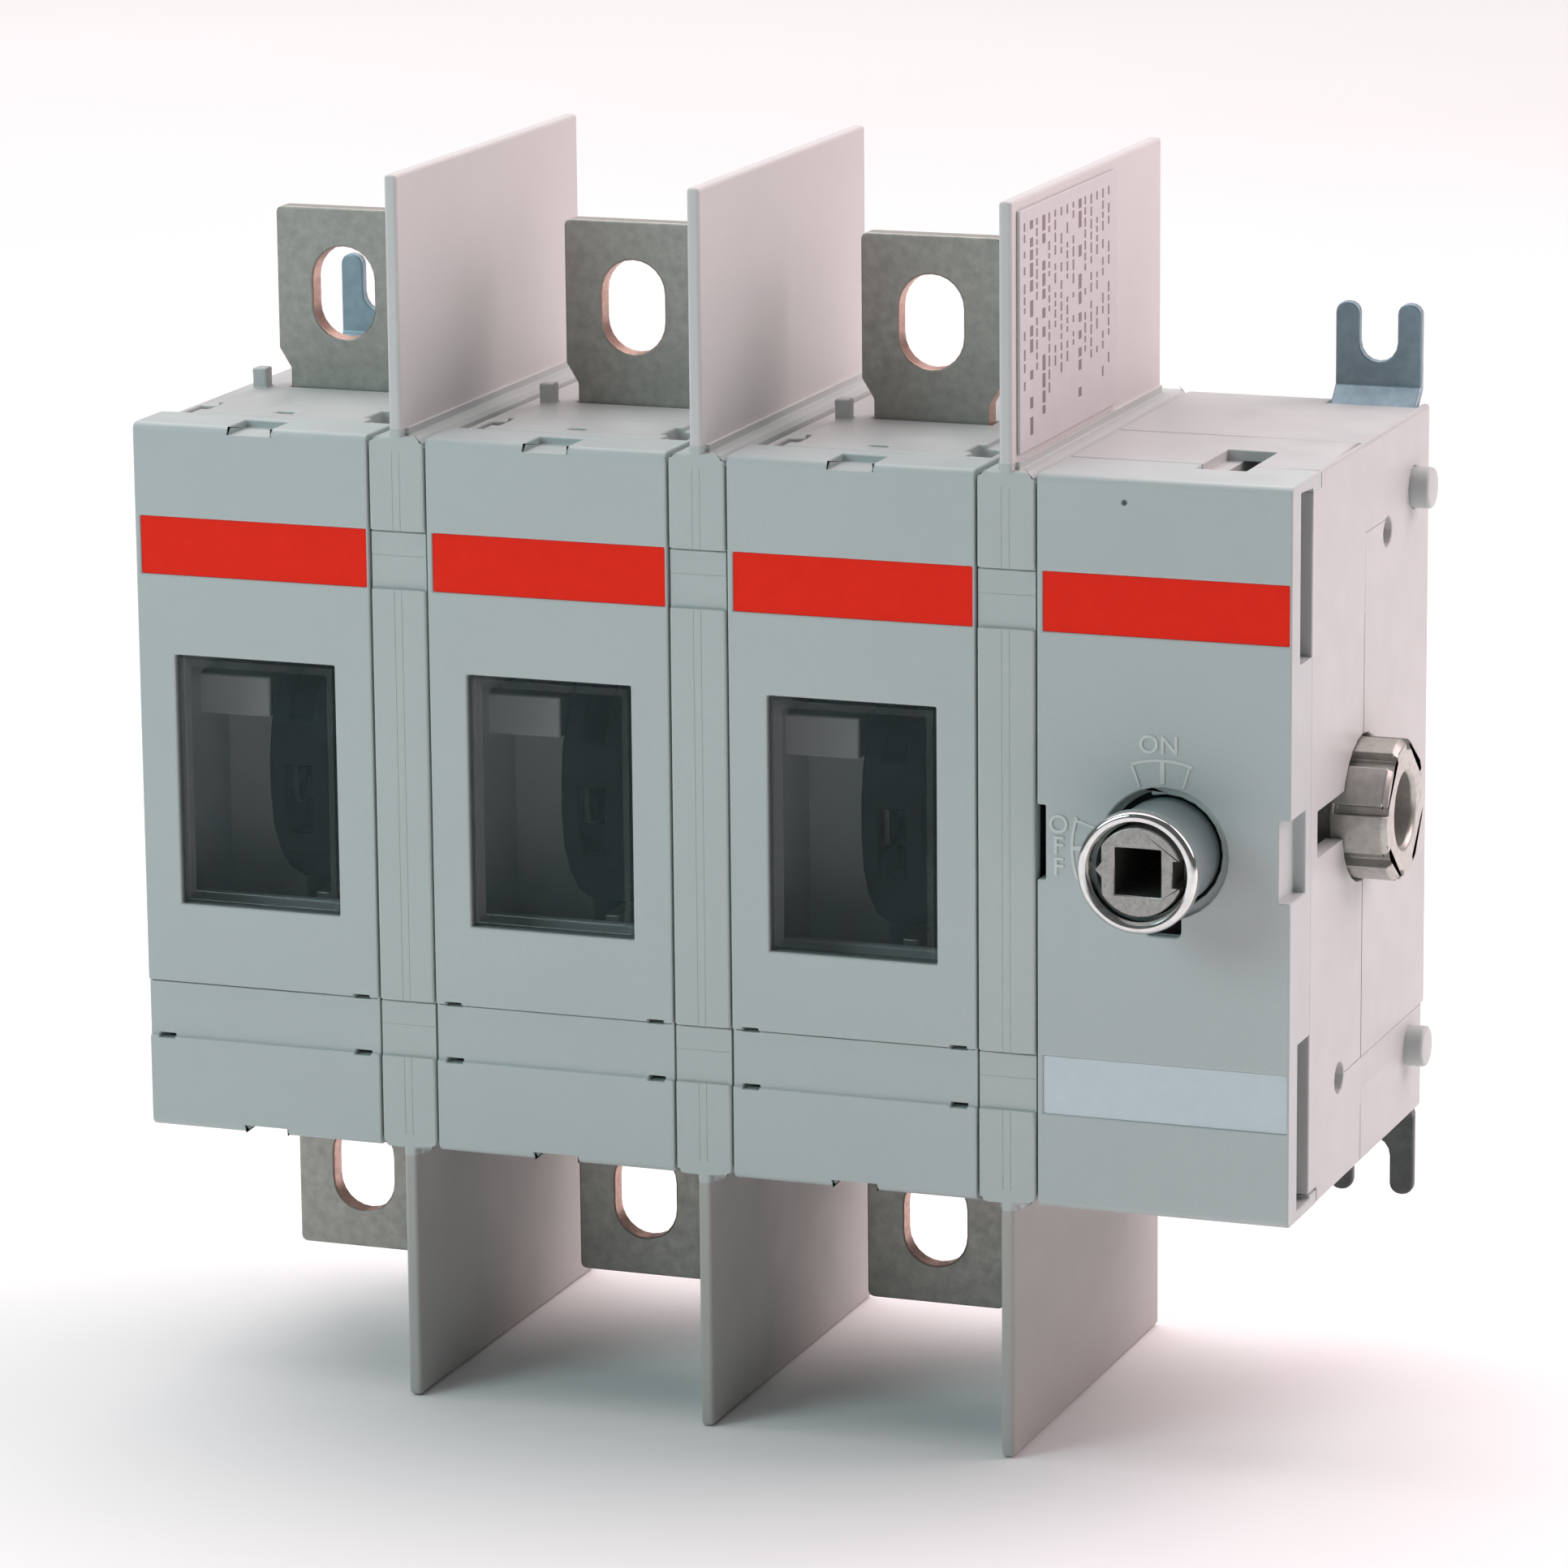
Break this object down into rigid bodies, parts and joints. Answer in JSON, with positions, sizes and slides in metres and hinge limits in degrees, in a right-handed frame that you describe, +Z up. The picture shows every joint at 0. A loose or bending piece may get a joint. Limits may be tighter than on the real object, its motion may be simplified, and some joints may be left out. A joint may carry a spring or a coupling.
{
  "type": "rotary disconnect switch",
  "caption": "Modular rotary switch-disconnector: pole housings with windows, bar terminals, phase barriers and a geared mechanism module.",
  "frame": {"origin": "middle of the row of modules on the mounting plane, at mid height, on the middle spacer's back face", "axes": "+X along the row from the first pole to the mechanism module, +Y into the panel, +Z up towards the line terminals"},
  "size_m": [0.1733, 0.081, 0.173],
  "materials": {
    "cover_plastic": "light grey-green moulded plastic, semi-matt",
    "base_plastic": "light grey moulded plastic, semi-matt",
    "barrier_plastic": "light grey moulded plastic",
    "sleeve_plastic": "light grey plastic, slightly glossy",
    "smoky_lens": "clear smoky plastic",
    "red_label": "red printed strip",
    "white_label": "white label with a faint blue cast",
    "tinned_copper": "tinned copper, satin, with a copper tint at its edges",
    "silvered_copper": "silvered copper",
    "dark_plastic": "near-black moulded plastic",
    "arc_chute": "dark steel plates",
    "chromed_steel": "polished chrome",
    "drive_socket_metal": "sintered metal, satin",
    "gear_steel": "steel",
    "cast_coupling": "cast metal, satin",
    "zinc_plate": "zinc-plated steel with a blue cast",
    "spring_steel": "spring steel"
  },
  "bodies": {
    "housing": {"pole_a_base": "base_plastic", "pole_a_cover": "cover_plastic", "pole_a_window": "smoky_lens", "pole_a_marker_strip": "red_label", "pole_a_line_terminal": "tinned_copper", "pole_a_load_terminal": "tinned_copper", "pole_a_line_arc_chute": "arc_chute", "pole_a_load_arc_chute": "arc_chute", "pole_b_base": "base_plastic", "pole_b_cover": "cover_plastic", "pole_b_window": "smoky_lens", "pole_b_marker_strip": "red_label", "pole_b_line_terminal": "tinned_copper", "pole_b_load_terminal": "tinned_copper", "pole_b_line_arc_chute": "arc_chute", "pole_b_load_arc_chute": "arc_chute", "pole_c_base": "base_plastic", "pole_c_cover": "cover_plastic", "pole_c_window": "smoky_lens", "pole_c_marker_strip": "red_label", "pole_c_line_terminal": "tinned_copper", "pole_c_load_terminal": "tinned_copper", "pole_c_line_arc_chute": "arc_chute", "pole_c_load_arc_chute": "arc_chute", "phase_barrier_1": "barrier_plastic", "phase_barrier_2": "barrier_plastic", "phase_barrier_3": "barrier_plastic", "rating_label": "white_label", "mechanism_cover": "cover_plastic", "mechanism_front_housing": "base_plastic", "mechanism_rear_housing": "base_plastic", "mechanism_marker_strip": "red_label", "marking_label": "white_label", "snap_spring": "spring_steel", "left_upper_foot": "zinc_plate", "left_lower_foot": "zinc_plate", "right_upper_foot": "zinc_plate", "right_lower_foot": "zinc_plate", "upper_tie_pin": "barrier_plastic", "lower_tie_pin": "barrier_plastic"},
    "contact_shaft": {"pole_a_rotor": "dark_plastic", "pole_a_moving_contact": "silvered_copper", "pole_b_rotor": "dark_plastic", "pole_b_moving_contact": "silvered_copper", "pole_c_rotor": "dark_plastic", "pole_c_moving_contact": "silvered_copper", "cross_shaft": "gear_steel", "cross_bevel_gear": "gear_steel", "side_coupling": "cast_coupling"},
    "front_drive": {"drive_ring": "chromed_steel", "drive_sleeve": "sleeve_plastic", "drive_socket": "drive_socket_metal", "drive_bevel_gear": "gear_steel"}
  },
  "joints": [
    {"name": "contact_turn", "type": "hinge", "parent": "housing", "child": "contact_shaft", "pos_m": [0, -0.034, 0], "axis": [1, 0, 0], "range_deg": [-90, 0]},
    {"name": "handle_turn", "type": "hinge", "parent": "housing", "child": "front_drive", "pos_m": [0.066, -0.034, 0], "axis": [0, 1, 0], "range_deg": [0, 90]}
  ],
  "couplings": [
    {"joint": "handle_turn", "follows": "contact_turn", "ratio": -1}
  ]
}
